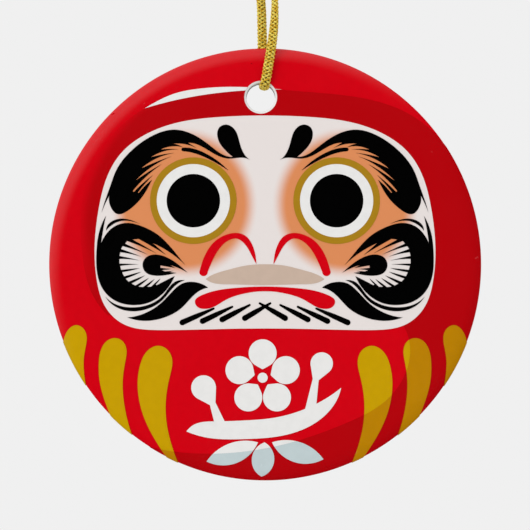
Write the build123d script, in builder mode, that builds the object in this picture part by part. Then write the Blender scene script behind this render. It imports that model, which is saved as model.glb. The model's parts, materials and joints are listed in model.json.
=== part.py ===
from build123d import *
import math
import os

# Flat round porcelain hanging ornament with a printed daruma face and a gold cord.
# Millimetres. X runs to the right, the printed face looks along -Y and Z is up.
# The origin is the inside top of the hang eye, where a hook's wire would lie.
# Artwork is drawn in the disc's own face coordinates, measured from the disc's centre.

disc_radius = 36.75
disc_thickness = 3.2
rim_width = 2.6             # the soft rounding of the disc's outer edges, inwards from the side
rim_depth = 1.25            # and back from the face
centre_drop = 62.5          # from the hang eye down to the disc's centre

hole_x = -0.73              # the hole sits a little to the left of the artwork's middle
hole_z = 28.3
hole_radius = 2.45
hole_edge_radius = 0.35
crown_bottom = 24.2         # the disc is one piece in two solids, parted on this level below the hole

ink_thickness = 0.05        # each printed layer, with the clear glaze over it
ink_wrap_angle = 75         # how far the print runs round the front rim
ground_layer = 0
shade_layer = 1
panel_layer = 2
line_layer = 3

eye_x = 12.13
eye_z = 10.77
ring_radius = 7.33
eye_white_radius = 6.2
pupil_radius = 4.53
tick_thin_radius = 0.18     # the chin's tapered ticks, at the mouth's end and at the beard's
tick_middle_radius = 0.42
tick_thick_radius = 0.48
tick_middle = 0.55          # where the middle radius lies, as a share of the way to the thick end

crest_x = -0.4              # a plum blossom on a brushed twig, over three leaves
crest_z = -19.2
crest_eye_radius = 0.85
petal_count = 5
petal_reach = 4.13
petal_radius = 2.37
petal_root = 1.75
petal_root_radius = 0.3
bud_drop = 2.6              # from a bud's middle down to the top of its stalk
stalk_top_radius = 0.5
stalk_foot_radius = 0.95
leaf_root = -30.15
leaf_root_spread = 0.12     # leaf roots stand apart by this share of their tips

cord_diameter = 1.25        # round section of the same area as the flat braid
cord_arc_share = 0.45       # how much of its shorter run each arc takes
bight_drop = 32.58          # from the hang eye down to the cord inside the hole
strand_offset = 2.7         # from the disc's middle plane to a strand beside it
bight_radius = 1.1          # the cord's bend round the hole's edge
twist_bottom = -23.5        # below this the strands turn with the disc
twist_top = -8.0            # above this they stay with the hook
knot_width = 4.2
knot_bottom = 1.3
knot_height = 4.6
knot_belly = 0.42           # height of the knot's widest place, as a share
knot_foot_share = 0.6       # its foot and its top, as shares of its width
knot_top_share = 0.5
tail_length = 7.0
tail_start = 0.66           # a tail's middle where it leaves the knot, and at its tip
tail_tip = 2.1
tail_bow = 0.35
tail_overlap = 0.6

half_thickness = disc_thickness / 2
rim_steps = 6               # points along each rounding's curve
bore_reach = disc_thickness + 2
outside = disc_radius + 4   # outlines that run off the disc reach this far

os.makedirs("parts", exist_ok=True)


def save(part, name):
    part.label = name
    export_step(part, f"parts/{name}.step")


def cut_below(part, height):
    with BuildPart() as kept:
        add(part)
        split(bisect_by=Plane.XY.offset(height), keep=Keep.BOTTOM)
    return kept.part


def cut_above(part, height):
    with BuildPart() as kept:
        add(part)
        split(bisect_by=Plane.XY.offset(height), keep=Keep.TOP)
    return kept.part


def face_plane(layer):
    front = -half_thickness - layer * ink_thickness
    return Plane(origin=(0, front, -centre_drop), x_dir=(1, 0, 0), z_dir=(0, -1, 0))


def disc_axis():
    return Axis((0, 0, -centre_drop), (0, 1, 0))


# ---- outlines of the printed areas -------------------------------------------------

def comb_edge(here, slits, tip_bow):
    # hair-like slits cut into a brushed area: out along one hair, across the root, back along the next
    for root_a, root_b, tip, bow in slits:
        SagittaArc(here, root_a, -bow)
        if root_a != root_b:
            Line(root_a, root_b)
        SagittaArc(root_b, tip, tip_bow)
        here = tip


def draw_face_panel():
    with BuildSketch() as area:
        with BuildLine():
            left = Spline(
                (0, 25.2), (-7.6, 24.95), (-15.2, 23.9), (-20.4, 21.9), (-24.3, 18.9), (-26.5, 15.4),
                (-28.2, 9.2), (-28.85, 3.0), (-28.4, -3.2), (-27.1, -7.1), (-24.2, -10.0), (-21.8, -10.85),
                (-19.5, -11.1), (-14.4, -11.12), (-8.0, -10.98), (0, -10.87), tangents=[(-1, 0), (1, 0)])
            mirror(left, about=Plane.YZ)
        make_face()
    return area.sketch


def draw_red_shade():
    # hood shadow round the panel and body shadow along the right and the bottom
    with BuildSketch() as area:
        with BuildLine():
            Spline((-26.6, -8.6), (-29.3, -4.9), (-30.9, 1.4), (-31.2, 7.5), (-30.1, 14.6), (-26.1, 21.6),
                   (-20.4, 26.4))
            Spline((-20.4, 26.4), (-12.2, 28.5), (-3.2, 29.45), (2.9, 29.55))
            Spline((2.9, 29.55), (12.7, 28.7), (19.6, 27.4), (24.7, 25.3), (30.0, 21.0), (34.7, 12.6))
            Polyline((34.7, 12.6), (outside, 10), (outside, -outside), (-24, -outside), (-20.3, -30.9))
            Spline((-20.3, -30.9), (-10.2, -32.1), (4.2, -30.25), (13.8, -26.9), (21.5, -22.1),
                   (24.5, -16.0), (23.5, -10.4))
            Line((23.5, -10.4), (-26.6, -8.6))
        make_face()
    return area.sketch


def draw_highlight():
    with BuildSketch() as area:
        with BuildLine():
            Spline((-20.4, 26.4), (-18.3, 27.6), (-15.5, 28.85), (-11.3, 29.72), (-5.4, 30.05), (2.9, 29.6))
            Spline((2.9, 29.6), (-3.2, 29.45), (-12.2, 28.4), (-20.4, 26.4))
        make_face()
    return area.sketch


def draw_ring():
    with BuildSketch() as area:
        with Locations((-eye_x, eye_z)):
            Circle(ring_radius)
            Circle(eye_white_radius, mode=Mode.SUBTRACT)
    return area.sketch


def draw_eye_white():
    with BuildSketch() as area:
        with Locations((-eye_x, eye_z)):
            Circle(eye_white_radius)
            Circle(pupil_radius, mode=Mode.SUBTRACT)
    return area.sketch


def draw_pupil():
    with BuildSketch() as area:
        with Locations((-eye_x, eye_z)):
            Circle(pupil_radius)
    return area.sketch


brow_slits = (
    ((-15.6, 20.42), (-15.6, 20.42), (-13.95, 19.85), 0.3),
    ((-17.7, 19.42), (-17.7, 19.42), (-14.7, 19.45), 0.34),
    ((-19.35, 18.12), (-19.35, 18.12), (-15.4, 18.85), 0.38),
    ((-21.0, 16.2), (-21.0, 16.2), (-15.9, 18.25), 0.44),
    ((-22.0, 14.1), (-22.0, 14.1), (-17.5, 16.95), 0.4),
    ((-22.4, 12.4), (-22.2, 12.25), (-19.0, 15.1), 0.25),
    ((-21.5, 12.2), (-21.4, 12.05), (-19.15, 14.3), 0.05),
)


def draw_brow():
    with BuildSketch() as area:
        with BuildLine():
            Spline((-19.15, 14.3), (-20.4, 12.0), (-22.6, 9.55), (-25.1, 8.55), (-26.2, 9.9), (-26.35, 11.65))
            Spline((-26.35, 11.65), (-27.05, 10.3), (-27.65, 8.8))
            Spline((-27.65, 8.8), (-27.0, 11.0), (-26.25, 13.1), (-25.15, 16.0), (-22.9, 18.98),
                   (-19.3, 21.65), (-15.3, 22.8), (-12.0, 21.9), (-9.0, 19.85), (-7.0, 18.5), (-5.45, 18.17))
            Spline((-5.45, 18.17), (-6.9, 19.5), (-8.05, 21.6), (-7.75, 23.15), (-6.55, 23.65), (-5.2, 22.9),
                   (-4.3, 20.6), (-3.6, 18.8), (-2.4, 17.6))
            Spline((-2.4, 17.6), (-4.4, 18.05), (-6.1, 17.9), (-7.9, 18.35), (-10.0, 19.55), (-13.05, 20.6))
            Line((-13.05, 20.6), (-11.6, 19.68))
            comb_edge((-11.6, 19.68), brow_slits, 0.1)
        make_face()
    return area.sketch


def draw_brow_accent():
    with BuildSketch() as area:
        with BuildLine():
            Spline((-6.2, 15.9), (-8.0, 17.5), (-10.0, 18.75), (-12.0, 19.55), (-13.85, 19.76))
            ThreePointArc((-13.85, 19.76), (-14.15, 19.45), (-13.85, 19.14))
            Spline((-13.85, 19.14), (-12.0, 18.82), (-10.0, 18.05), (-8.0, 17.0), (-6.2, 15.9))
        make_face()
    return area.sketch


beard_slits = (
    ((-21.4, 4.3), (-22.4, 4.2), (-18.4, 1.87), 0.04),
    ((-23.35, 3.95), (-23.7, 3.5), (-19.85, 1.65), 0.08),
    ((-24.1, 3.08), (-24.4, 2.6), (-20.95, 1.3), 0.08),
    ((-24.5, 2.05), (-24.65, 1.42), (-21.25, 0.65), 0.08),
    ((-24.65, 0.92), (-24.65, 0.12), (-21.45, -0.02), 0.08),
    ((-24.55, -0.27), (-24.35, -0.95), (-21.2, -0.65), 0.05),
    ((-24.2, -1.35), (-23.85, -2.05), (-20.95, -1.27), -0.05),
    ((-23.6, -2.42), (-23.1, -2.95), (-20.35, -1.9), -0.06),
    ((-22.6, -3.25), (-21.95, -3.6), (-19.65, -2.3), -0.06),
    ((-21.45, -3.78), (-20.65, -3.85), (-18.7, -2.5), -0.06),
    ((-20.0, -3.82), (-19.3, -3.8), (-17.7, -2.4), -0.06),
    ((-18.5, -3.4), (-18.35, -3.55), (-15.3, -2.0), -0.05),
)


def draw_beard():
    with BuildSketch() as area:
        with BuildLine():
            Line((-19.0, 3.6), (-16.75, 1.6))
            comb_edge((-16.75, 1.6), beard_slits, 0.03)
            Spline((-15.3, -2.0), (-16.3, -3.8), (-17.8, -5.4), (-20.0, -6.6), (-22.5, -6.9), (-25.2, -6.25),
                   (-27.3, -4.45), (-28.4, -1.6), (-28.55, 1.8), (-28.2, 5.0), (-26.95, 8.15))
            Spline((-26.95, 8.15), (-27.35, 6.2), (-27.75, 3.6))
            Spline((-27.75, 3.6), (-26.9, 5.1), (-25.6, 6.35), (-23.4, 7.0), (-21.0, 6.5), (-18.0, 4.9),
                   (-15.8, 2.7), (-13.5, -0.1))
            SagittaArc((-13.5, -0.1), (-19.0, 3.6), -0.3)
        make_face()
    return area.sketch


def draw_beard_core():
    with BuildSketch() as area:
        with BuildLine():
            Spline((-13.1, -1.42), (-14.7, -0.02), (-16.5, 1.12), (-18.4, 1.65), (-20.1, 1.2), (-20.72, 0.0),
                   (-20.2, -1.35), (-18.6, -1.92), (-16.6, -1.8), (-15.0, -1.45))
            Polyline((-15.0, -1.45), (-16.2, -1.3), (-15.5, -1.12), (-16.9, -1.2), (-17.5, -1.0),
                     (-15.9, -0.8), (-17.7, -0.6), (-17.7, -0.2), (-15.2, -0.62), (-16.1, -0.13))
            Spline((-16.1, -0.13), (-14.6, -0.65), (-13.1, -1.42))
        make_face()
    return area.sketch


def draw_beard_wisp():
    with BuildSketch() as area:
        with BuildLine():
            Spline((-26.9, 5.7), (-26.55, 6.75), (-25.6, 7.45), (-24.2, 7.74), (-22.6, 7.45), (-21.2, 6.85))
            Spline((-21.2, 6.85), (-22.8, 7.32), (-24.2, 7.36), (-25.7, 6.8), (-26.9, 5.7))
        make_face()
    return area.sketch


def draw_beard_hem():
    with BuildSketch() as area:
        with BuildLine():
            Spline((-27.0, -5.5), (-25.2, -6.8), (-22.4, -7.3), (-19.6, -6.8), (-17.2, -5.2), (-15.7, -3.3),
                   (-13.6, -2.7))
            Spline((-13.6, -2.7), (-15.3, -3.7), (-17.3, -6.0), (-19.9, -7.55), (-22.6, -7.95),
                   (-25.2, -7.25), (-27.0, -5.5))
        make_face()
    return area.sketch


def draw_cheek_lobe():
    with BuildSketch() as area:
        with BuildLine():
            Spline((-23.3, -9.0), (-20.4, -8.3), (-17.7, -6.65), (-15.4, -4.3), (-14.0, -3.25),
                   (-12.3, -2.97), (-9.65, -3.95))
            Spline((-9.65, -3.95), (-11.8, -5.0), (-14.2, -7.45), (-16.6, -8.85), (-20.0, -9.57),
                   (-23.3, -9.0))
        make_face()
    return area.sketch


def draw_nostril():
    with BuildSketch() as area:
        with BuildLine():
            Spline((-11.12, -1.3), (-10.55, 0.6), (-9.7, 2.4), (-8.3, 4.05), (-6.6, 5.0), (-4.7, 5.3),
                   (-3.2, 4.75), (-2.2, 3.4), (-1.65, 1.7), (-1.45, 0.05))
            Spline((-1.45, 0.05), (-2.3, 1.6), (-3.0, 2.85), (-3.85, 3.85), (-4.8, 4.35), (-5.95, 4.15),
                   (-7.2, 3.25), (-8.35, 1.7), (-9.2, -0.05), (-9.7, -1.3))
            ThreePointArc((-9.7, -1.3), (-10.41, -2.0), (-11.12, -1.3))
        make_face()
    return area.sketch


def draw_nose_shade():
    with BuildSketch() as area:
        with BuildLine():
            Spline((10.05, -2.5), (9.4, -2.05), (6.5, -1.0), (3.4, -0.25), (0, 0), (-3.4, -0.25),
                   (-6.5, -1.0), (-9.4, -2.05), (-10.05, -2.5))
            Spline((-10.05, -2.5), (-9.2, -3.0), (-6.3, -3.37), (0, -3.52), (6.3, -3.37), (9.2, -3.0),
                   (10.05, -2.5))
        make_face()
    return area.sketch


def draw_mouth():
    with BuildSketch() as area:
        with BuildLine():
            Spline((0, -3.77), (-5.0, -4.0), (-8.3, -4.45), (-10.4, -5.1), (-11.87, -6.3), (-11.5, -7.15),
                   (-10.3, -7.55), (-8.9, -7.3), (-6.9, -6.17), (-4.6, -5.22), (-2.1, -4.7), (0, -4.57),
                   tangents=[(-1, 0), (1, 0)])
            Line((0, -4.57), (0, -3.77))
        make_face()
        mirror(about=Plane.YZ)
    return area.sketch


def draw_tick(thin, thick):
    middle = tuple(start + (end - start) * tick_middle for start, end in zip(thin, thick))
    with BuildSketch() as area:
        with Locations(thin):
            Circle(tick_thin_radius)
        with Locations(middle):
            Circle(tick_middle_radius)
        with Locations(thick):
            Circle(tick_thick_radius)
        make_hull()
    return area.sketch


def draw_stripe_outer():
    with BuildSketch() as area:
        with BuildLine():
            Spline((-34.6, -14.0), (-34.0, -12.3), (-33.2, -10.95), (-32.05, -10.3), (-30.8, -10.85),
                   (-30.2, -12.3), (-30.35, -13.9), (-30.7, -16.0), (-30.7, -18.0), (-30.4, -21.0))
            Polyline((-30.4, -21.0), (-outside, -21.0), (-outside, -14.0), (-34.6, -14.0))
        make_face()
    return area.sketch


def draw_stripe_middle():
    with BuildSketch() as area:
        with BuildLine():
            Spline((-25.6, -28.0), (-27.2, -23.0), (-28.0, -19.8), (-28.15, -16.8), (-27.7, -14.3),
                   (-26.8, -13.0), (-25.4, -12.5), (-24.2, -12.95), (-23.5, -14.2), (-23.65, -16.4),
                   (-24.05, -19.0), (-24.0, -22.5), (-23.4, -26.0), (-22.0, -31.0))
            Line((-22.0, -31.0), (-25.6, -28.0))
        make_face()
    return area.sketch


def draw_stripe_inner():
    with BuildSketch() as area:
        with BuildLine():
            Spline((-14.9, -36.0), (-17.8, -31.1), (-20.35, -26.3), (-21.4, -22.5), (-21.55, -19.5),
                   (-21.1, -16.9), (-20.0, -14.75), (-18.05, -13.8), (-16.4, -14.6), (-15.7, -16.4),
                   (-16.1, -18.9), (-16.75, -22.5), (-16.65, -27.0), (-15.7, -31.0), (-13.9, -36.0))
            Line((-13.9, -36.0), (-14.9, -36.0))
        make_face()
    return area.sketch


def draw_crest_blossom():
    with BuildSketch() as area:
        with Locations((crest_x, crest_z)):
            Circle(crest_eye_radius)
        with BuildSketch(mode=Mode.PRIVATE) as petal:
            with Locations((0, petal_reach)):
                Circle(petal_radius)
            with Locations((0, petal_root)):
                Circle(petal_root_radius)
            make_hull()
        with Locations((crest_x, crest_z)):
            with PolarLocations(0, petal_count):
                add(petal.sketch)
    return area.sketch


def draw_crest_branch():
    with BuildSketch() as area:
        with BuildLine():
            Spline((-13.3, -28.3), (-11.9, -27.1), (-8.2, -26.6), (-3.5, -26.45), (1.5, -26.0), (7.5, -24.2),
                   (12.9, -20.9))
            Spline((12.9, -20.9), (11.1, -24.6), (7.6, -27.4), (2.5, -29.1), (-3.5, -29.6), (-9.5, -29.4),
                   (-13.3, -28.3))
        make_face()
        for bud_x, bud_z, stalk_x, stalk_foot, bud_radius in (
                (-10.4, -20.9, -7.4, -27.6, 2.1), (9.6, -16.8, 7.6, -25.2, 1.9)):
            stalk_top = ((bud_x + stalk_x) / 2, bud_z - bud_drop)
            with BuildSketch(mode=Mode.PRIVATE) as bud:
                with Locations((bud_x, bud_z)):
                    Circle(bud_radius)
                with Locations(stalk_top):
                    Circle(stalk_top_radius)
                make_hull()
            add(bud.sketch)
            with BuildSketch(mode=Mode.PRIVATE) as stalk:
                with Locations(stalk_top):
                    Circle(stalk_top_radius)
                with Locations((stalk_x, stalk_foot)):
                    Circle(stalk_foot_radius)
                make_hull()
            add(stalk.sketch)
    return area.sketch


def draw_crest_leaves():
    with BuildSketch() as area:
        for tip, bow_left, bow_right in (
                ((-9.9, -33.4), 2.0, 1.5), ((-0.6, -36.0), 1.9, 1.9), ((9.9, -33.0), 1.5, 2.0)):
            root = (tip[0] * leaf_root_spread, leaf_root)
            with BuildLine():
                SagittaArc(root, tip, bow_left)
                SagittaArc(tip, root, bow_right)
            make_face()
    return area.sketch


# ---- the disc ----------------------------------------------------------------------

def rim_point(offset, angle):
    # a point on the front rim's rounding, offset outside it, angle from straight ahead towards the side
    turn = math.radians(angle)
    along = disc_radius - rim_width + (rim_width + offset) * math.sin(turn)
    depth = rim_depth - half_thickness - (rim_depth + offset) * math.cos(turn)
    return (along, depth)


def rim_curve(offset, first, last):
    # the rounding from one angle to another
    steps = [first + (last - first) * step / rim_steps for step in range(rim_steps + 1)]
    return Spline(*[rim_point(offset, angle) for angle in steps])


def build_disc():
    with BuildPart() as disc:
        with BuildSketch(Plane.XY.offset(-centre_drop)):
            with BuildLine():
                Line((0, 0), (0, -half_thickness))
                Line((0, -half_thickness), rim_point(0, 0))
                rim_curve(0, 0, ink_wrap_angle)
                rim_curve(0, ink_wrap_angle, 90)
                Line(rim_point(0, 90), (disc_radius, 0))
                Line((disc_radius, 0), (0, 0))
            make_face()
        revolve(axis=disc_axis())
        mirror(about=Plane.XZ)
        with BuildSketch(face_plane(0).offset(-bore_reach)):
            with Locations((hole_x, hole_z)):
                Circle(hole_radius)
        extrude(amount=2 * bore_reach, mode=Mode.SUBTRACT)
        circles = disc.edges().filter_by(GeomType.CIRCLE)
        mouths = [edge for edge in circles if abs(edge.radius - hole_radius) < 0.01]
        fillet(mouths, hole_edge_radius)
    return disc.part


# ---- printed layers ----------------------------------------------------------------

def build_skin(layer, wrap_angle):
    # one layer over the whole front, from the middle to part way round the rim
    inner = layer * ink_thickness
    outer = inner + ink_thickness
    outer_middle = (0, -half_thickness - outer)
    inner_middle = (0, -half_thickness - inner)
    with BuildPart() as skin:
        with BuildSketch(Plane.XY.offset(-centre_drop)):
            with BuildLine():
                Line(outer_middle, rim_point(outer, 0))
                rim_curve(outer, 0, wrap_angle)
                Line(rim_point(outer, wrap_angle), rim_point(inner, wrap_angle))
                rim_curve(inner, wrap_angle, 0)
                Line(rim_point(inner, 0), inner_middle)
                Line(inner_middle, outer_middle)
            make_face()
        revolve(axis=disc_axis())
        with BuildSketch(face_plane(0).offset(-bore_reach)):
            with Locations((hole_x, hole_z)):
                Circle(hole_radius + hole_edge_radius)
        extrude(amount=2 * bore_reach, mode=Mode.SUBTRACT)
    return skin.part


def build_wrapped(skin, *draws):
    # the part of a skin that lies inside every given outline
    with BuildPart() as film:
        add(skin)
        for draw in draws:
            with BuildSketch(face_plane(0).offset(-bore_reach)):
                add(draw())
            extrude(amount=2 * bore_reach, mode=Mode.INTERSECT)
    return film.part


def build_flat(layer, *draws):
    with BuildPart() as film:
        with BuildSketch(face_plane(layer)):
            for draw in draws:
                add(draw())
        extrude(amount=ink_thickness)
    return film.part


def mirrored(part):
    with BuildPart() as twin:
        mirror(part, about=Plane.YZ)
    return twin.part


def both_sides(part):
    with BuildPart() as pair:
        add(part)
        mirror(part, about=Plane.YZ)
    return pair.part


def save_pair(part, name):
    save(part, f"{name}_left")
    save(mirrored(part), f"{name}_right")


def build_ticks(*ends):
    with BuildPart() as ticks:
        for thin, thick in ends:
            with BuildSketch(face_plane(line_layer)):
                add(draw_tick(thin, thick))
            extrude(amount=ink_thickness)
    return ticks.part


# ---- the cord ----------------------------------------------------------------------

cord_route = (
    (0.62, 0, 1.7),
    (1.75, 0, -1.9),
    (2.2, -0.7, -7.0),
    (1.75, -1.9, -15.0),
    (1.15, -strand_offset, -24.5),
    (0, -strand_offset, -bight_drop),
    (0, strand_offset, -bight_drop),
    (-0.45, strand_offset, -24.5),
    (-0.65, 1.9, -16.0),
    (-2.0, 0.7, -7.3),
    (-1.8, 0, -2.1),
    (-0.62, 0, 1.7),
)
bight_corners = (5, 6)


def corner_radii(route):
    radii = []
    for index in range(1, len(route) - 1):
        arriving = Vector(*route[index]) - Vector(*route[index - 1])
        leaving = Vector(*route[index + 1]) - Vector(*route[index])
        turn = math.radians(arriving.get_angle(leaving))
        radius = cord_arc_share * min(arriving.length, leaving.length) / math.tan(turn / 2)
        radii.append(bight_radius if index in bight_corners else radius)
    return radii


def build_cord():
    radii = corner_radii(cord_route)
    print("cord corner radii:", [round(radius, 1) for radius in radii])
    with BuildPart() as cord:
        with BuildLine():
            path = FilletPolyline(*cord_route, radius=radii)
        with BuildSketch(Plane(origin=path @ 0, z_dir=path % 0)):
            Circle(cord_diameter / 2)
        sweep(path=path)
    expected = path.length * math.pi * cord_diameter ** 2 / 4
    print("cord length:", round(path.length, 2), "volume ratio:", round(cord.part.volume / expected, 4))
    return cord.part


def build_knot():
    half = knot_width / 2
    top = knot_bottom + knot_height
    with BuildPart() as knot:
        with BuildSketch(Plane.XZ):
            with BuildLine():
                Line((0, knot_bottom), (half * knot_foot_share, knot_bottom))
                Spline((half * knot_foot_share, knot_bottom), (half, knot_bottom + knot_height * knot_belly),
                       (half * knot_top_share, top))
                Polyline((half * knot_top_share, top), (0, top), (0, knot_bottom))
            make_face()
        revolve(axis=Axis.Z)
    return knot.part


def build_tails():
    foot = knot_bottom + knot_height - tail_overlap
    with BuildPart() as tails:
        for side in (-1, 1):
            with BuildLine(Plane.XZ):
                tip = (side * tail_tip, foot + tail_length)
                path = SagittaArc((side * tail_start, foot), tip, side * tail_bow)
            with BuildSketch(Plane(origin=path @ 0, z_dir=path % 0)):
                Circle(cord_diameter / 2)
            sweep(path=path)
    return tails.part


# ---- make and write every piece ----------------------------------------------------

whole_disc = build_disc()
save(cut_below(whole_disc, crown_bottom - centre_drop), "porcelain_disc")
save(cut_above(whole_disc, crown_bottom - centre_drop), "porcelain_crown")

ground_skin = build_skin(ground_layer, ink_wrap_angle)
shade_skin = build_skin(shade_layer, ink_wrap_angle)
panel_skin = build_skin(panel_layer, ink_wrap_angle)
line_skin = build_skin(line_layer, ink_wrap_angle)

save(ground_skin, "ink_red_ground")
save(build_wrapped(shade_skin, draw_red_shade), "ink_red_shade")
save(build_wrapped(panel_skin, draw_highlight), "ink_highlight")
save(build_flat(panel_layer, draw_face_panel), "ink_face_panel")

save_pair(build_flat(line_layer, draw_ring), "ink_eye_ring")
save_pair(build_flat(line_layer, draw_eye_white), "ink_eye_white")
save_pair(build_flat(line_layer, draw_pupil), "ink_pupil")
save_pair(build_flat(line_layer, draw_brow), "ink_brow")
save_pair(build_flat(line_layer, draw_brow_accent), "ink_brow_accent")
save_pair(build_flat(line_layer, draw_beard), "ink_beard")
save_pair(build_flat(line_layer, draw_beard_core), "ink_beard_core")
save_pair(build_flat(line_layer, draw_beard_wisp), "ink_beard_wisp")
save_pair(build_flat(line_layer, draw_beard_hem), "ink_beard_hem")
save_pair(build_flat(line_layer, draw_cheek_lobe), "ink_cheek_lobe")
save_pair(build_flat(line_layer, draw_nostril), "ink_nostril")
save(build_flat(line_layer, draw_nose_shade), "ink_nose_shade")
save(build_flat(line_layer, draw_mouth), "ink_mouth")

outer_ticks = build_ticks(
    ((-8.7, -7.5), (-14.0, -9.85)),
    ((-5.55, -7.2), (-10.58, -9.62)),
    ((-2.6, -6.9), (-7.25, -9.35)))
save_pair(outer_ticks, "ink_chin_ticks")
save(build_ticks(((0.9, -6.6), (-3.42, -9.12)), ((-0.9, -6.6), (3.42, -9.12))), "ink_chin_cross")

for stripe_name, draw_stripe in (
        ("outer", draw_stripe_outer), ("middle", draw_stripe_middle), ("inner", draw_stripe_inner)):
    stripe = build_wrapped(panel_skin, draw_stripe)
    save_pair(stripe, f"ink_stripe_{stripe_name}")
    stripes_above = both_sides(build_wrapped(line_skin, draw_stripe))
    save(build_wrapped(stripes_above, draw_red_shade), f"ink_stripe_{stripe_name}_shade")

save(build_flat(panel_layer, draw_crest_blossom), "ink_crest_blossom")
save(build_flat(panel_layer, draw_crest_branch), "ink_crest_branch")
save(build_wrapped(panel_skin, draw_crest_leaves), "ink_crest_leaves")
save(build_wrapped(line_skin, draw_crest_leaves, draw_red_shade), "ink_crest_shade")

whole_cord = build_cord()
save(cut_below(whole_cord, twist_bottom), "cord_bight")
save(cut_above(cut_below(whole_cord, twist_top), twist_bottom), "cord_strands")
save(cut_above(whole_cord, twist_top), "cord_eye")
save(build_knot(), "cord_knot")
save(build_tails(), "cord_tails")
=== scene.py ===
import json
import math

import bmesh
import bpy
from mathutils import Matrix, Vector

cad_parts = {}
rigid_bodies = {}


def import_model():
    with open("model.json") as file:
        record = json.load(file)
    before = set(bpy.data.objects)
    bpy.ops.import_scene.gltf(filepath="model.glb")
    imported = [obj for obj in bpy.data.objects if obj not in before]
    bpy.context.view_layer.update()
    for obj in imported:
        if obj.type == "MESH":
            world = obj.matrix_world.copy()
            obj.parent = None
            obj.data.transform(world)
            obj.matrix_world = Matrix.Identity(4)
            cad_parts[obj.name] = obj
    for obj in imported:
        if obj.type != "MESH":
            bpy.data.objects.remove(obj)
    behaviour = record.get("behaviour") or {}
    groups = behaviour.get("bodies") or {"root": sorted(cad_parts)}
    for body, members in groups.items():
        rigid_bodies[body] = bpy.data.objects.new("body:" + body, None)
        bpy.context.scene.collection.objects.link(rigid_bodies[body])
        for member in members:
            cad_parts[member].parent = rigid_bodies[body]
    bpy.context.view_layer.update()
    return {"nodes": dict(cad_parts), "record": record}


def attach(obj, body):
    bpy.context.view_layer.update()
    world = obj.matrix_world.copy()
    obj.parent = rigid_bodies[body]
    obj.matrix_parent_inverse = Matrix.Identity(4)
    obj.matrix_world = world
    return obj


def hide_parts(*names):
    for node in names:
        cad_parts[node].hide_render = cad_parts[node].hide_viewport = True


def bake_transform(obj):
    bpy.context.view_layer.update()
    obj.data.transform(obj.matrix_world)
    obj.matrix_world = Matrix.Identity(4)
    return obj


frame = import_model()
mm = 0.001
print("frame loaded:", len(frame["nodes"]), "nodes")


# shader nodes, written as plain expressions

class Value:
    # a number socket; sums and products on it add Math nodes
    def __init__(self, recipe, socket):
        self.recipe = recipe
        self.socket = socket

    def maths(self, operation, first, second=0.0):
        return self.recipe.add("ShaderNodeMath", {"operation": operation}, {0: first, 1: second})

    def __add__(self, other):
        return self.maths("ADD", self, other)

    def __radd__(self, other):
        return self.maths("ADD", other, self)

    def __sub__(self, other):
        return self.maths("SUBTRACT", self, other)

    def __rsub__(self, other):
        return self.maths("SUBTRACT", other, self)

    def __mul__(self, other):
        return self.maths("MULTIPLY", self, other)

    def __rmul__(self, other):
        return self.maths("MULTIPLY", other, self)

    def __truediv__(self, other):
        return self.maths("DIVIDE", self, other)

    def __pow__(self, other):
        return self.maths("POWER", self, other)

    def least(self, other):
        return self.maths("MINIMUM", self, other)

    def most(self, other):
        return self.maths("MAXIMUM", self, other)

    def size(self):
        return self.maths("ABSOLUTE", self)


class Recipe:
    # the node tree of one material, or of the world
    def __init__(self, tree):
        self.tree = tree
        tree.nodes.clear()

    def add(self, kind, settings=None, values=None, take=0):
        node = self.tree.nodes.new(kind)
        for name, setting in (settings or {}).items():
            if name == "stops":
                self.placeStops(node.color_ramp, setting)
            else:
                setattr(node, name, setting)
        for name, value in (values or {}).items():
            if isinstance(value, Value):
                self.tree.links.new(value.socket, node.inputs[name])
            else:
                node.inputs[name].default_value = value
        return Value(self, node.outputs[take]) if node.outputs else node

    def placeStops(self, ramp, stops):
        while len(ramp.elements) < len(stops):
            ramp.elements.new(1.0)
        for element, (place, colour) in zip(ramp.elements, stops):
            element.position = place
            element.color = colour

    def place(self):
        spot = self.add("ShaderNodeTexCoord", take=3)
        apart = spot.recipe.add("ShaderNodeSeparateXYZ", None, {0: spot})
        return [Value(self, output) for output in apart.socket.node.outputs]

    def smooth(self, value, low, high):
        return self.add("ShaderNodeMapRange", {"interpolation_type": "SMOOTHSTEP"},
                        {"Value": value, "From Min": low, "From Max": high})

    def noise(self, scale, detail=2.0, spot=None):
        spot = spot or self.add("ShaderNodeTexCoord", take=3)
        return self.add("ShaderNodeTexNoise", None, {"Vector": spot, "Scale": scale, "Detail": detail})

    def mix(self, share, first, second):
        return self.add("ShaderNodeMix", {"data_type": "RGBA"}, {0: share, 6: first, 7: second}, take=2)

    def bump(self, height, strength, distance):
        return self.add("ShaderNodeBump", None,
                        {"Height": height, "Strength": strength, "Distance": distance})

    def surface(self, values):
        shader = self.add("ShaderNodeBsdfPrincipled", None, values)
        self.add("ShaderNodeOutputMaterial", None, {"Surface": shader})
        return shader


def newRecipe(name):
    material = bpy.data.materials.new(name)
    material.use_nodes = True
    return material, Recipe(material.node_tree)


def tone(red, green, blue):
    # a colour given in everyday 0 to 255 steps, as the shader's linear light
    light = []
    for part in (red / 255, green / 255, blue / 255):
        light.append(part / 12.92 if part <= 0.04045 else ((part + 0.055) / 1.055) ** 2.4)
    return (*light, 1.0)


# glazed print and porcelain

glaze = {
    "roughness": 0.07,
    "ior": 1.5,
    "ripple": 240.0,      # gentle waves left in the fired glaze, per metre
    "rippleDepth": 0.00002,
    "rippleStrength": 0.15,
    "hazeScale": 90.0,    # how the gloss varies from place to place
    "haze": 0.04,
    "inkScale": 700.0,    # the unevenness of transferred ink
    "inkLow": 0.35,
    "inkHigh": 0.65,
    "inkDeep": 0.97,
}

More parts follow.
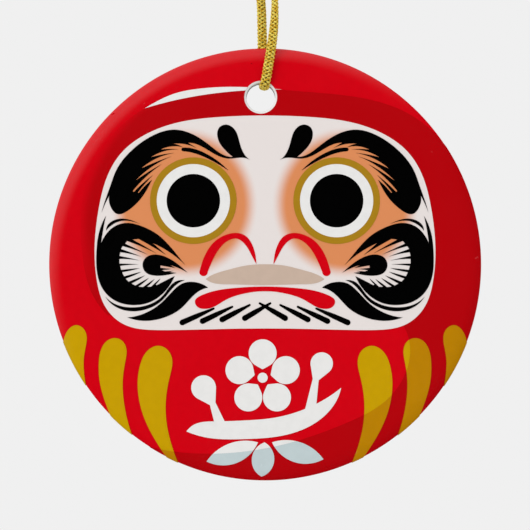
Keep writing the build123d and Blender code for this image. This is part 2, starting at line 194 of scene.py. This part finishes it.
# the blush on both cheeks, in millimetres from the disc's middle
blush = {
    "colour": tone(221, 140, 90),
    "middle": (13.6, 10.1),
    "reach": (11.2, 11.9, 11.3),     # sideways, upwards, downwards
    "solid": 0.88,
    "gone": 1.12,
}

# the soft left side of the hood's shading: the oval it fades towards, in millimetres
hood = {
    "middle": 6.5,
    "reach": (31.3, 27.5),
    "dark": 0.945,
    "bright": 1.01,
    "share": 0.85,
    "sideways": (-12.0, -22.0),      # where the blend begins and is full, leftwards
    "upwards": (-14.0, 0.0),
}

disc = {
    "radius": 36.75 * mm,
    "halfThick": 1.6 * mm,
    "rimWidth": 2.6 * mm,
    "rimDepth": 1.25 * mm,
    "middleDrop": 62.5 * mm,
    "hole": (-0.73 * mm, 28.3 * mm),
    "holeRadius": 2.45 * mm,
    "holeEdge": 0.35 * mm,
    "around": 360,
    "rimSteps": 20,
    "finest": 0.38 * mm,
    "merge": 0.003 * mm,
    "weld": 0.0005 * mm,
    "sharp": math.radians(32),
    "passes": 9,
    "halvings": 40,
    "foldLimit": 0.2,     # a face that looks less than this much outwards is folded over
}


def glazed(name, paint):
    # paint takes the recipe and gives back a colour, plain or linked
    material, recipe = newRecipe(name)
    waves = recipe.noise(glaze["ripple"], 1.0)
    recipe.surface({
        "Base Color": paint(recipe),
        "Roughness": glaze["roughness"] + glaze["haze"] * recipe.noise(glaze["hazeScale"], 2.0),
        "IOR": glaze["ior"],
        "Normal": recipe.bump(waves, glaze["rippleStrength"], glaze["rippleDepth"]),
    })
    return material


def flatPaint(colour):
    # printed colour with the faint unevenness of transferred ink
    deep = tuple(part * glaze["inkDeep"] for part in colour[:3]) + (1.0,)

    def paint(recipe):
        uneven = recipe.smooth(recipe.noise(glaze["inkScale"], 3.0), glaze["inkLow"], glaze["inkHigh"])
        return recipe.mix(uneven, deep, colour)

    return paint


def facePaint(recipe):
    # the pale face with a round blush on each cheek
    x, y, z = recipe.place()
    across = (x.size() - blush["middle"][0] * mm) / (blush["reach"][0] * mm)
    rise = z + (disc["middleDrop"] - blush["middle"][1] * mm)
    upright = (rise.most(0.0) / (blush["reach"][1] * mm)) + (rise.least(0.0) / (blush["reach"][2] * mm))
    far = (across * across + upright * upright) ** 0.5
    bare = recipe.smooth(far, blush["solid"], blush["gone"])
    return recipe.mix(bare, blush["colour"], inks["print_face"])


def hoodPaint(recipe):
    # the hood's shading, which blends into the brighter red along its left side
    x, y, z = recipe.place()
    across = x / (hood["reach"][0] * mm)
    rise = z + (disc["middleDrop"] - hood["middle"] * mm)
    upright = rise / (hood["reach"][1] * mm)
    far = (across * across + upright * upright) ** 0.5
    leftwards = recipe.smooth(x, *[part * mm for part in hood["sideways"]])
    left = leftwards * recipe.smooth(rise, *[part * mm for part in hood["upwards"]])
    share = recipe.smooth(far, hood["dark"], hood["bright"]) * left * hood["share"]
    return recipe.mix(share, inks["print_dark_red"], inks["print_red"])


inks = {
    "white_porcelain": tone(236, 235, 233),
    "print_red": tone(211, 0, 17),
    "print_dark_red": tone(180, 2, 10),
    "print_face": tone(231, 223, 220),
    "print_white": tone(234, 233, 231),
    "print_black": tone(2, 2, 2),
    "print_ring_gold": tone(169, 128, 27),
    "print_gold": tone(200, 158, 1),
    "print_dark_gold": tone(187, 129, 2),
    "print_taupe": tone(201, 178, 161),
    "print_grey": tone(193, 207, 209),
}

finishes = {slot: glazed(slot + "Glaze", flatPaint(colour)) for slot, colour in inks.items()}
finishes["print_face"] = glazed("print_faceGlaze", facePaint)
finishes["print_dark_red"] = glazed("print_dark_redGlaze", hoodPaint)


def dressNodes():
    slotOf = {part["node"]: part["material_slot"] for part in frame["record"]["subparts"]}
    for name, node in frame["nodes"].items():
        if slotOf[name] in finishes:
            node.data.materials.clear()
            node.data.materials.append(finishes[slotOf[name]])
    return slotOf


slots = dressNodes()
print("print and glaze on", len(frame["nodes"]), "nodes")


# finer surfaces: the porcelain turned in one piece, and the wrapped print following its rim closely

def rimSpot(offset, angle):
    along = disc["radius"] - disc["rimWidth"] + (disc["rimWidth"] + offset) * math.sin(angle)
    depth = disc["halfThick"] - disc["rimDepth"] + (disc["rimDepth"] + offset) * math.cos(angle)
    return along, -depth


def rimOffset(along, depth):
    # how far outside the bare rim a point lies, found by halving
    flatEdge = disc["radius"] - disc["rimWidth"]
    ahead = -depth - (disc["halfThick"] - disc["rimDepth"])
    low, high = -0.5 * mm, 1.0 * mm
    for _ in range(disc["halvings"]):
        middle = (low + high) / 2
        sideways = (along - flatEdge) / (disc["rimWidth"] + middle)
        forwards = ahead / (disc["rimDepth"] + middle)
        low, high = (middle, high) if sideways ** 2 + forwards ** 2 > 1 else (low, middle)
    return (low + high) / 2


def rimAngle(along, depth, offset):
    ahead = -depth - (disc["halfThick"] - disc["rimDepth"])
    return math.atan2((along - disc["radius"] + disc["rimWidth"]) / (disc["rimWidth"] + offset),
                      ahead / (disc["rimDepth"] + offset))


def placeOnRim(vertex, offset, angle):
    sideways = Vector((vertex.co.x, 0, vertex.co.z + disc["middleDrop"])).normalized()
    along, depth = rimSpot(offset, angle)
    vertex.co = (sideways.x * along, depth, sideways.z * along - disc["middleDrop"])


def pastRim(vertex):
    # how far beyond the start of the rounding, outwards
    return math.hypot(vertex.co.x, vertex.co.z + disc["middleDrop"]) - (disc["radius"] - disc["rimWidth"])


def smoothed(shape, name):
    for face in shape.faces:
        face.smooth = True
    for edge in shape.edges:
        if len(edge.link_faces) == 2 and edge.calc_face_angle() > disc["sharp"]:
            edge.smooth = False
    mesh = bpy.data.meshes.new(name)
    shape.to_mesh(mesh)
    shape.free()
    thing = bpy.data.objects.new(name, mesh)
    bpy.context.scene.collection.objects.link(thing)
    return thing


def showInstead(thing, *nodes):
    thing.data.materials.append(finishes[slots[nodes[0]]])
    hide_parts(*nodes)
    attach(thing, "ornament")


def dropFolds(shape, offsets, angles):
    # takes out the slivers that the splitting has folded over on the film's outer side
    outermost = max(vertex[offsets] for vertex in shape.verts) - 0.01 * mm
    folded = []
    for face in shape.faces:
        if min(vertex[offsets] for vertex in face.verts) < outermost:
            continue
        angle = max(0.0, sum(vertex[angles] for vertex in face.verts) / len(face.verts))
        middle = face.calc_center_median()
        sideways = Vector((middle.x, 0, middle.z + disc["middleDrop"])).normalized() * math.sin(angle)
        if face.normal.dot(sideways - Vector((0, math.cos(angle), 0))) < disc["foldLimit"]:
            folded.append(face)
    bmesh.ops.delete(shape, geom=folded, context="FACES_ONLY")
    bmesh.ops.holes_fill(shape, edges=[edge for edge in shape.edges if edge.is_boundary], sides=0)


def refineFilm(name):
    # splits the film's long edges round the rim and lays the new corners on the true rounding
    shape = bmesh.new()
    shape.from_mesh(frame["nodes"][name].data)
    bmesh.ops.remove_doubles(shape, verts=shape.verts, dist=disc["weld"])
    offsets = shape.verts.layers.float.new("offset")
    angles = shape.verts.layers.float.new("angle")
    for vertex in shape.verts:
        past = pastRim(vertex)
        vertex[offsets] = -vertex.co.y - disc["halfThick"]
        if past > 0:
            along = past + disc["radius"] - disc["rimWidth"]
            vertex[offsets] = rimOffset(along, vertex.co.y)
            angle = rimAngle(along, vertex.co.y, vertex[offsets])
            vertex[angles] = angle if angle > 0.02 else 0.0
        elif past < -0.03 * mm:
            vertex[angles] = -9.0
    for _ in range(disc["passes"]):
        long = [edge for edge in shape.edges if edge.calc_length() > disc["finest"]
                and max(pastRim(end) for end in edge.verts) > -0.1 * mm]
        if not long:
            break
        known = len(shape.verts)
        bmesh.ops.subdivide_edges(shape, edges=long, cuts=1)
        bmesh.ops.triangulate(shape, faces=[face for face in shape.faces if len(face.verts) > 3])
        shape.verts.ensure_lookup_table()
        for vertex in list(shape.verts)[known:]:
            if vertex[angles] > 0.001:
                placeOnRim(vertex, vertex[offsets], vertex[angles])
            elif pastRim(vertex) > 0:
                along = pastRim(vertex) + disc["radius"] - disc["rimWidth"]
                vertex[angles] = rimAngle(along, vertex.co.y, vertex[offsets])
                placeOnRim(vertex, vertex[offsets], vertex[angles])
        bmesh.ops.remove_doubles(shape, verts=shape.verts, dist=disc["merge"])
        bmesh.ops.dissolve_degenerate(shape, edges=shape.edges, dist=disc["merge"])
        bmesh.ops.triangulate(shape, faces=[face for face in shape.faces if len(face.verts) > 3])
    shape.normal_update()
    dropFolds(shape, offsets, angles)
    return smoothed(shape, name.replace("ink_", "print_on_"))


def addRing(shape, middle, radius, depth):
    turns = [2 * math.pi * step / disc["around"] for step in range(disc["around"])]
    return [shape.verts.new((middle[0] + radius * math.cos(turn), depth, middle[1] + radius * math.sin(turn)))
            for turn in turns]


def joinRings(shape, rings):
    for first, second in zip(rings, rings[1:]):
        for here in range(disc["around"]):
            there = (here + 1) % disc["around"]
            shape.faces.new((first[here], first[there], second[there], second[here]))


def edgesOf(shape, ring):
    return [shape.edges.get((corner, after)) for corner, after in zip(ring, ring[1:] + ring[:1])]


def turnDisc():
    shape = bmesh.new()
    middle = (0, -disc["middleDrop"])
    hole = (disc["hole"][0], disc["hole"][1] - disc["middleDrop"])
    steps = [math.pi / 2 * step / disc["rimSteps"] for step in range(disc["rimSteps"] + 1)]
    rim = [rimSpot(0, angle) for angle in steps]
    rim += [(along, -depth) for along, depth in reversed(rim)]
    mouth = [(disc["holeRadius"] + disc["holeEdge"] * (1 - math.sin(angle)),
              -disc["halfThick"] + disc["holeEdge"] * (1 - math.cos(angle))) for angle in steps[::3]]
    mouth += [(radius, -depth) for radius, depth in reversed(mouth)]
    outside = [addRing(shape, middle, radius, depth) for radius, depth in rim]
    inside = [addRing(shape, hole, radius, depth) for radius, depth in mouth]
    joinRings(shape, outside)
    joinRings(shape, inside)
    for outer, inner in ((outside[0], inside[0]), (outside[-1], inside[-1])):
        bmesh.ops.triangle_fill(shape, edges=edgesOf(shape, outer) + edgesOf(shape, inner), use_beauty=True)
    bmesh.ops.recalc_face_normals(shape, faces=shape.faces)
    return smoothed(shape, "glazed_disc")


showInstead(turnDisc(), "porcelain_disc", "porcelain_crown")
overTheRim = ("ink_red", "ink_highlight", "ink_stripe", "ink_crest_leaves", "ink_crest_shade")
wrapped = [name for name in frame["nodes"] if name.startswith(overTheRim)]
for name in wrapped:
    showInstead(refineFilm(name), name)
print("disc turned,", len(wrapped), "wrapped films refined")


# the cord: a flat tubular braid of metallic yarn

cordRoute = {
    "points": (
        (0.62, 0, 1.7), (1.75, 0, -1.9), (2.0, -0.6, -7.0), (1.6, -1.6, -14.0), (1.72, -2.3, -22.0),
        (0.25, -2.35, -30.9), (-0.05, -1.9, -32.25), (-0.1, 0, -32.3), (-0.15, 1.9, -32.25),
        (-0.42, 2.3, -30.2), (-0.45, 2.4, -24.5), (-0.65, 1.9, -16.0), (-2.0, 0.7, -7.3),
        (-1.8, 0, -2.1), (-0.62, 0, 1.7)),
    "turns": ((0.0, 0), (0.16, 75), (0.24, 72), (0.4, 14), (0.5, 0), (0.58, 4), (0.78, 32), (1.0, 0)),
    "exit": (1.1, -2.35, -25.75),
    "width": 1.65,
    "bendStart": -8.0,
    "bendEnd": -23.5,
}


def millimetres(points):
    return [Vector(point) * mm for point in points]


def routeLine(name, points):
    # the points that a smooth spline through the route gives
    curve = bpy.data.curves.new(name, "CURVE")
    curve.dimensions = "3D"
    curve.resolution_u = 24
    spline = curve.splines.new("NURBS")
    spline.points.add(len(points) - 1)
    for held, point in zip(spline.points, points):
        held.co = (*point, 1.0)
    spline.order_u = 3
    spline.use_endpoint_u = True
    holder = bpy.data.objects.new(name, curve)
    bpy.context.scene.collection.objects.link(holder)
    bpy.context.view_layer.update()
    depsgraph = bpy.context.evaluated_depsgraph_get()
    line = bpy.data.meshes.new_from_object(holder.evaluated_get(depsgraph))
    found = [vertex.co.copy() for vertex in line.vertices]
    bpy.data.objects.remove(holder)
    bpy.data.meshes.remove(line)
    return found


def lengthOf(line):
    return sum((after - before).length for before, after in zip(line, line[1:]))


def turnAt(share, turns):
    for (start, first), (end, second) in zip(turns, turns[1:]):
        if share <= end:
            part = (share - start) / (end - start)
            return math.radians(first + (second - first) * part * part * (3 - 2 * part))
    return math.radians(turns[-1][1])


def lineObject(name, lines, turns):
    # one object of bare lines, each vertex holding how far the flat braid has turned there
    spots, edges, values = [], [], []
    for line in lines:
        total, gone = lengthOf(line), 0.0
        for index, spot in enumerate(line):
            gone += (spot - line[index - 1]).length if index else 0.0
            values.append(turnAt(gone / total, turns))
            if index:
                edges.append((len(spots) - 1, len(spots)))
            spots.append(spot)
    mesh = bpy.data.meshes.new(name)
    mesh.from_pydata(spots, edges, [])
    held = mesh.attributes.new("turn", "FLOAT", "POINT")
    held.data.foreach_set("value", values)
    thing = bpy.data.objects.new(name, mesh)
    bpy.context.scene.collection.objects.link(thing)
    return thing


class Weave:
    # the node tree of one geometry recipe
    def __init__(self, name, inputs):
        self.tree = bpy.data.node_groups.new(name, "GeometryNodeTree")
        face = self.tree.interface
        face.new_socket(name="Geometry", in_out="INPUT", socket_type="NodeSocketGeometry")
        self.ids = {}
        for label, kind in inputs.items():
            self.ids[label] = face.new_socket(name=label, in_out="INPUT", socket_type=kind).identifier
        face.new_socket(name="Geometry", in_out="OUTPUT", socket_type="NodeSocketGeometry")
        self.start = self.tree.nodes.new("NodeGroupInput")
        self.end = self.tree.nodes.new("NodeGroupOutput")

    def given(self, label):
        return self.start.outputs[label]

    def add(self, kind, settings=None, values=None, take=0):
        node = self.tree.nodes.new(kind)
        for name, setting in (settings or {}).items():
            setattr(node, name, setting)
        for name, value in (values or {}).items():
            if isinstance(value, bpy.types.NodeSocket):
                self.tree.links.new(value, node.inputs[name])
            else:
                node.inputs[name].default_value = value
        return node.outputs[take] if node.outputs else node

    def maths(self, operation, first, second=0.0):
        return self.add("ShaderNodeMath", {"operation": operation}, {0: first, 1: second})

    def vectors(self, operation, first, second=(0, 0, 0), take=0):
        return self.add("ShaderNodeVectorMath", {"operation": operation}, {0: first, 1: second}, take)

    def scaled(self, vector, amount):
        return self.add("ShaderNodeVectorMath", {"operation": "SCALE"}, {0: vector, "Scale": amount})

    def store(self, geometry, name, value, kind="FLOAT"):
        return self.add("GeometryNodeStoreNamedAttribute", {"data_type": kind, "domain": "POINT"},
                        {"Geometry": geometry, "Name": name, "Value": value})

    def read(self, name, kind="FLOAT"):
        return self.add("GeometryNodeInputNamedAttribute", {"data_type": kind}, {"Name": name})


plait = {
    "yarns": 16,
    "carriers": 4,        # each way round, with two yarns on each
    "yarnSides": 5,
    "coreSides": 12,
    "coreStep": 0.3 * mm,
}


def braidTree():
    # sixteen yarns in eight carriers, plaited over and under along every line of the object
    weave = Weave("braidedCord", {
        "Lay": "NodeSocketFloat", "Half Width": "NodeSocketFloat", "Half Depth": "NodeSocketFloat",
        "Yarn Radius": "NodeSocketFloat", "Lift": "NodeSocketFloat", "Ply Gap": "NodeSocketFloat",
        "Step": "NodeSocketFloat", "Yarn": "NodeSocketMaterial", "Core": "NodeSocketMaterial"})
    lines = weave.add("GeometryNodeMeshToCurve", None, {"Mesh": weave.given("Geometry")})
    lines = weave.add("GeometryNodeResampleCurve", {"mode": "LENGTH"},
                      {"Curve": lines, "Length": weave.given("Step")})
    tangent = weave.add("GeometryNodeInputTangent")
    across = (1.0, 0.0, 0.0)
    lean = weave.scaled(tangent, weave.vectors("DOT_PRODUCT", tangent, across, take=1))
    flat = weave.vectors("NORMALIZE", weave.vectors("SUBTRACT", across, lean))
    deep = weave.vectors("CROSS_PRODUCT", tangent, flat)
    turn = weave.read("turn")
    cosine, sine = weave.maths("COSINE", turn), weave.maths("SINE", turn)
    wide = weave.vectors("ADD", weave.scaled(flat, cosine), weave.scaled(deep, sine))
    thick = weave.vectors("SUBTRACT", weave.scaled(deep, cosine), weave.scaled(flat, sine))
    along = weave.add("GeometryNodeSplineParameter", take=1)
    lines = weave.store(lines, "wide", wide, "FLOAT_VECTOR")
    lines = weave.store(lines, "thick", thick, "FLOAT_VECTOR")
    lines = weave.store(lines, "middle", weave.add("GeometryNodeInputPosition"), "FLOAT_VECTOR")
    lines = weave.store(lines, "along", along)

    copies = weave.tree.nodes.new("GeometryNodeDuplicateElements")
    copies.domain = "SPLINE"
    copies.inputs["Amount"].default_value = plait["yarns"]
    weave.tree.links.new(lines, copies.inputs["Geometry"])
    number = copies.outputs["Duplicate Index"]
    way = weave.maths("SUBTRACT", weave.maths("MULTIPLY", weave.maths("MODULO", number, 2.0), 2.0), 1.0)
    pair = weave.maths("FLOOR", weave.maths("DIVIDE", number, 2.0))
    carrier = weave.maths("MODULO", pair, float(plait["carriers"]))
    layer = weave.maths("FLOOR", weave.maths("DIVIDE", number, 2.0 * plait["carriers"]))
    ply = weave.maths("SUBTRACT", layer, 0.5)
    turned = weave.maths("MULTIPLY", weave.read("along"), 2 * math.pi)
    spin = weave.maths("MULTIPLY", weave.maths("DIVIDE", turned, weave.given("Lay")), way)
    angle = weave.maths("ADD", spin, weave.maths("MULTIPLY", carrier, 2 * math.pi / plait["carriers"]))
    lift = weave.maths("MULTIPLY", weave.maths("COSINE", weave.maths("MULTIPLY", angle, 4.0)),
                       weave.maths("MULTIPLY", way, weave.given("Lift")))
    beside = weave.maths("ADD", angle, weave.maths("MULTIPLY", ply, weave.given("Ply Gap")))
    reachWide = weave.maths("MULTIPLY", weave.maths("ADD", weave.given("Half Width"), lift),
                            weave.maths("COSINE", beside))
    reachDeep = weave.maths("MULTIPLY", weave.maths("ADD", weave.given("Half Depth"), lift),
                            weave.maths("SINE", beside))
    spot = weave.vectors("ADD", weave.read("middle", "FLOAT_VECTOR"), weave.vectors(
        "ADD", weave.scaled(weave.read("wide", "FLOAT_VECTOR"), reachWide),
        weave.scaled(weave.read("thick", "FLOAT_VECTOR"), reachDeep)))
    yarns = weave.add("GeometryNodeSetPosition", None, {"Geometry": copies.outputs[0], "Position": spot})
    # the lift is kept as "shade"; the yarn finish uses it to paint shade on the stretches that dip under
    yarns = weave.store(yarns, "shade", lift)
    ring = weave.add("GeometryNodeCurvePrimitiveCircle", None,
                     {"Resolution": plait["yarnSides"], "Radius": weave.given("Yarn Radius")})
    yarns = weave.add("GeometryNodeCurveToMesh", None,
                      {"Curve": yarns, "Profile Curve": ring, "Fill Caps": True})
    yarns = weave.add("GeometryNodeSetMaterial", None, {"Geometry": yarns, "Material": weave.given("Yarn")})

    sparse = weave.add("GeometryNodeResampleCurve", {"mode": "LENGTH"},
                       {"Curve": lines, "Length": plait["coreStep"]})
    hoop = weave.add("GeometryNodeCurvePrimitiveCircle", None,
                     {"Resolution": plait["coreSides"], "Radius": 1.0})
    circle = weave.add("GeometryNodeSplineParameter", take=0)
    hoop = weave.store(hoop, "around", weave.maths("MULTIPLY", circle, 2 * math.pi))
    core = weave.add("GeometryNodeCurveToMesh", None,
                     {"Curve": sparse, "Profile Curve": hoop, "Fill Caps": True})
    inner = weave.maths("SUBTRACT", weave.given("Half Width"), weave.given("Yarn Radius"))
    shallow = weave.maths("SUBTRACT", weave.given("Half Depth"), weave.given("Yarn Radius"))
    around = weave.read("around")
    inside = weave.vectors("ADD", weave.read("middle", "FLOAT_VECTOR"), weave.vectors(
        "ADD",
        weave.scaled(weave.read("wide", "FLOAT_VECTOR"), weave.maths(
            "MULTIPLY", inner, weave.maths("COSINE", around))),
        weave.scaled(weave.read("thick", "FLOAT_VECTOR"), weave.maths(
            "MULTIPLY", shallow, weave.maths("SINE", around)))))
    core = weave.add("GeometryNodeSetPosition", None, {"Geometry": core, "Position": inside})
    core = weave.add("GeometryNodeSetMaterial", None, {"Geometry": core, "Material": weave.given("Core")})

    joined = weave.tree.nodes.new("GeometryNodeJoinGeometry")
    weave.tree.links.new(core, joined.inputs[0])
    weave.tree.links.new(yarns, joined.inputs[0])
    smooth = weave.add("GeometryNodeSetShadeSmooth", None, {"Geometry": joined.outputs[0]})
    real = weave.add("GeometryNodeRealizeInstances", None, {"Geometry": smooth})
    weave.tree.links.new(real, weave.end.inputs[0])
    return weave


def settle(thing, weave, values):
    # runs the tree on the object and leaves a plain mesh in its place
    modifier = thing.modifiers.new("weave", "NODES")
    modifier.node_group = weave.tree
    for label, value in values.items():
        modifier[weave.ids[label]] = value
    depsgraph = bpy.context.evaluated_depsgraph_get()
    mesh = bpy.data.meshes.new_from_object(thing.evaluated_get(depsgraph))
    thing.modifiers.remove(modifier)
    thing.data = mesh
    mesh.name = thing.name
    return thing


def yarnFinish():
    material, recipe = newRecipe("metallicYarn")
    shade = recipe.add("ShaderNodeAttribute", {"attribute_name": "shade"}, take=2)
    spot = recipe.add("ShaderNodeTexCoord", take=3)
    glint = recipe.noise(2600.0, 3.0, spot)
    # painted shade: the yarn turns dark olive where it dips under its neighbours
    dipShadeMask = recipe.smooth(shade, -0.00006, 0.00005)
    # the yarn's own gold, with painted glints: bright flecks that stand in for the sparkle of highlights
    goldWithPaintedGlints = recipe.mix(recipe.smooth(glint, 0.46, 0.56), tone(226, 178, 34), tone(255, 236, 110))
    recipe.surface({
        "Base Color": recipe.mix(dipShadeMask, tone(96, 80, 2), goldWithPaintedGlints),
        "Metallic": 0.25,
        "Roughness": 0.28 + 0.2 * glint,
        "Normal": recipe.bump(recipe.noise(5200.0, 2.0, spot), 0.35, 0.00003),
    })
    return material


def coreFinish():
    material, recipe = newRecipe("cordCore")
    recipe.surface({
        "Base Color": recipe.mix(recipe.noise(3000.0), tone(52, 44, 6), tone(92, 78, 14)),
        "Roughness": 0.8,
    })
    return material


# the inputs of the braid's tree, by their labels
braid = {
    "Lay": 2.52 * mm,
    "Half Width": 0.66 * mm,
    "Half Depth": 0.30 * mm,
    "Yarn Radius": 0.15 * mm,
    "Lift": 0.08 * mm,
    "Ply Gap": 0.24,
    "Step": 0.08 * mm,
    "Yarn": yarnFinish(),
    "Core": coreFinish(),
}

braided = braidTree()
routePoints = millimetres(cordRoute["points"])
cordLine = routeLine("cordRoute", routePoints)
cord = settle(lineObject("braided_cord", [cordLine], cordRoute["turns"]), braided, braid)
print("cord:", round(lengthOf(cordLine) / mm, 2), "mm long,", len(cord.data.polygons), "faces")

knotRoute = {
    "line": ((0.62, 0, 1.7), (0.5, -0.3, 2.6), (-1.3, -0.9, 3.0), (-1.9, 0.2, 3.9), (-0.5, 1.3, 4.6),
             (1.4, 1.0, 4.3), (1.9, -0.4, 3.6), (0.7, -1.5, 3.2), (-0.4, -1.3, 4.4), (-0.2, -0.2, 5.6),
             (0.9, 0, 8.6), (2.1, 0, 12.3)),
    "beside": (-0.62, 0.1, 0.35),
    "turns": ((0.0, 0), (1.0, 0)),
}


def tieKnot():
    first = routeLine("knotFirst", millimetres(knotRoute["line"]))
    apart = knotRoute["beside"]
    points = []
    for x, y, z in knotRoute["line"]:
        points.append((x + apart[0], y + apart[1], z + apart[2]))
    points[0] = (-0.62, 0, 1.7)
    points[-2] = (-0.9, 0, 8.4)
    points[-1] = (-2.1, 0, 12.3)
    second = routeLine("knotSecond", millimetres(points))
    return settle(lineObject("cord_knot_and_tails", [first, second], knotRoute["turns"]), braided, braid)


knot = tieKnot()
print("knot:", len(knot.data.polygons), "faces")

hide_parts("cord_bight", "cord_strands", "cord_eye")
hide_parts("cord_knot", "cord_tails")
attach(knot, "hanger")
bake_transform(cord)
round(lengthOf(cordLine), 4)


# studio: pale floor, soft light from above, and a dim front so that the glaze stays clear

studio = {
    "pale": 0.871,
    "floorDrop": 0.36,
    "floorReach": 0.8,
    "lens": 100.0,
    "sensor": 36.0,
    "pictureWide": 0.08973,
    "aim": (0.0, 0.0, -0.06262),
    "faceDepth": -0.0018,
    "upLeft": (-0.6, 0.8),           # the side that the glaze mirrors, sideways and upwards
    "mirrorFrom": 0.1,
    "mirrorTo": 0.65,
    "mirrorLeast": 0.002,
    "mirrorGain": 0.85,
    "keySpot": (-0.7, -0.8, 0.55),
    "keyAim": (0, 0, -0.06),
    "keyWide": 0.7,
    "keyEnergy": 4.2,
}


def layFloor():
    shape = bmesh.new()
    bmesh.ops.create_circle(shape, cap_ends=True, segments=48, radius=studio["floorReach"])
    mesh = bpy.data.meshes.new("floor")
    shape.to_mesh(mesh)
    shape.free()
    mesh.transform(Matrix.Translation((0, 0, -studio["floorDrop"])))
    floor = bpy.data.objects.new("floor", mesh)
    bpy.context.scene.collection.objects.link(floor)
    material, recipe = newRecipe("paleFloor")
    x, y, z = recipe.place()
    out = (x * x + y * y) ** 0.5
    fade = 1.0 - recipe.smooth(out, 0.3 * studio["floorReach"], 0.97 * studio["floorReach"])
    recipe.surface({"Base Color": (0.8, 0.8, 0.8, 1.0), "Roughness": 0.9, "Alpha": fade})
    mesh.materials.append(material)
    floor.visible_glossy = False


def lightRoom():
    world = bpy.data.worlds.new("softRoom")
    bpy.context.scene.world = world
    world.use_nodes = True
    recipe = Recipe(world.node_tree)
    way = recipe.add("ShaderNodeTexCoord", take=0)
    apart = recipe.add("ShaderNodeSeparateXYZ", None, {0: way}).socket.node
    sideways, upwards = studio["upLeft"]
    lean = Value(recipe, apart.outputs[2]) * upwards + Value(recipe, apart.outputs[0]) * sideways
    rays = recipe.add("ShaderNodeLightPath", take=0).socket.node
    glossy = Value(recipe, rays.outputs["Is Glossy Ray"])
    share = recipe.smooth(lean, studio["mirrorFrom"], studio["mirrorTo"])
    mirrored = studio["mirrorLeast"] + studio["mirrorGain"] * share
    seen = 1.0 - glossy * (1.0 - mirrored)
    pale = studio["pale"]
    sky = recipe.add("ShaderNodeBackground", None, {"Color": (pale, pale, pale, 1.0), "Strength": seen})
    recipe.add("ShaderNodeOutputWorld", None, {"Surface": sky})


def softBox(name, spot, aim, wide, energy):
    lamp = bpy.data.lights.new(name, "AREA")
    lamp.shape = "SQUARE"
    lamp.size = wide
    lamp.energy = energy
    thing = bpy.data.objects.new(name, lamp)
    thing.location = spot
    thing.rotation_euler = (Vector(aim) - Vector(spot)).to_track_quat("-Z", "Y").to_euler()
    thing.visible_glossy = False
    bpy.context.scene.collection.objects.link(thing)


def placeCamera():
    lens = bpy.data.cameras.new("camera")
    lens.lens = studio["lens"]
    lens.sensor_width = studio["sensor"]
    lens.clip_start = 0.01
    back = studio["pictureWide"] * studio["lens"] / studio["sensor"]
    camera = bpy.data.objects.new("camera", lens)
    camera.location = (studio["aim"][0], studio["faceDepth"] - back, studio["aim"][2])
    camera.rotation_euler = (math.pi / 2, 0, 0)
    bpy.context.scene.collection.objects.link(camera)
    bpy.context.scene.camera = camera


layFloor()
lightRoom()
softBox("keyBox", studio["keySpot"], studio["keyAim"], studio["keyWide"], studio["keyEnergy"])
placeCamera()
bpy.context.scene.view_settings.view_transform = "Standard"
bpy.context.scene.view_settings.look = "None"
print("studio ready")
